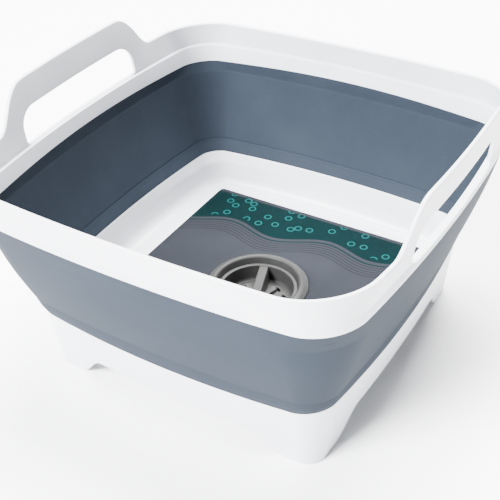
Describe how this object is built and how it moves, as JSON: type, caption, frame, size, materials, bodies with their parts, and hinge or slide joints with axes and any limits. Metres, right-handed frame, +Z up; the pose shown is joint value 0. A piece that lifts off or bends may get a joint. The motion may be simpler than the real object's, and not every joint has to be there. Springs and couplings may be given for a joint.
{
  "type": "collapsible camp washbasin",
  "caption": "Square camp washbasin with a folding rubber wall between a hard rim with hand grips and a footed base, and a twist plug over its drain.",
  "frame": {"origin": "on the ground under the middle of the drain, the basin standing open on its feet", "axes": "+X from handle to handle, +Y to the back, +Z up; the part is the same turned half round but for the twist plug's grip"},
  "size_m": [0.322, 0.315, 0.2035],
  "materials": {
    "white_plastic": "satin moulded polypropylene",
    "grey_rubber": "matt soft thermoplastic rubber",
    "card_print": "printed, satin",
    "drain_plastic": "satin moulded plastic",
    "seal_rubber": "matt",
    "steel": "plain stainless"
  },
  "bodies": {
    "base": {"base_tray": "white_plastic", "wall_lower_collar": "grey_rubber", "wall_fold_panel": "grey_rubber", "floor_card": "card_print", "drain_collar": "drain_plastic", "drain_gasket": "seal_rubber", "drain_locknut": "drain_plastic", "strainer_plate": "drain_plastic", "plug_face_seal": "seal_rubber"},
    "rim": {"rim_frame": "white_plastic", "wall_upper_collar": "grey_rubber"},
    "plug": {"twist_plug": "drain_plastic", "plug_o_ring": "seal_rubber", "pivot_screw": "steel", "pivot_washer": "steel"}
  },
  "joints": [
    {"name": "collapse", "type": "slide", "parent": "base", "child": "rim", "axis": [0, 0, -1], "range_m": [0, 0.123], "deforming": ["wall_fold_panel"]},
    {"name": "plug_twist", "type": "hinge", "parent": "base", "child": "plug", "pos_m": [0, 0, 0.0169], "axis": [0, 0, 1], "range_deg": [0, 18]}
  ]
}
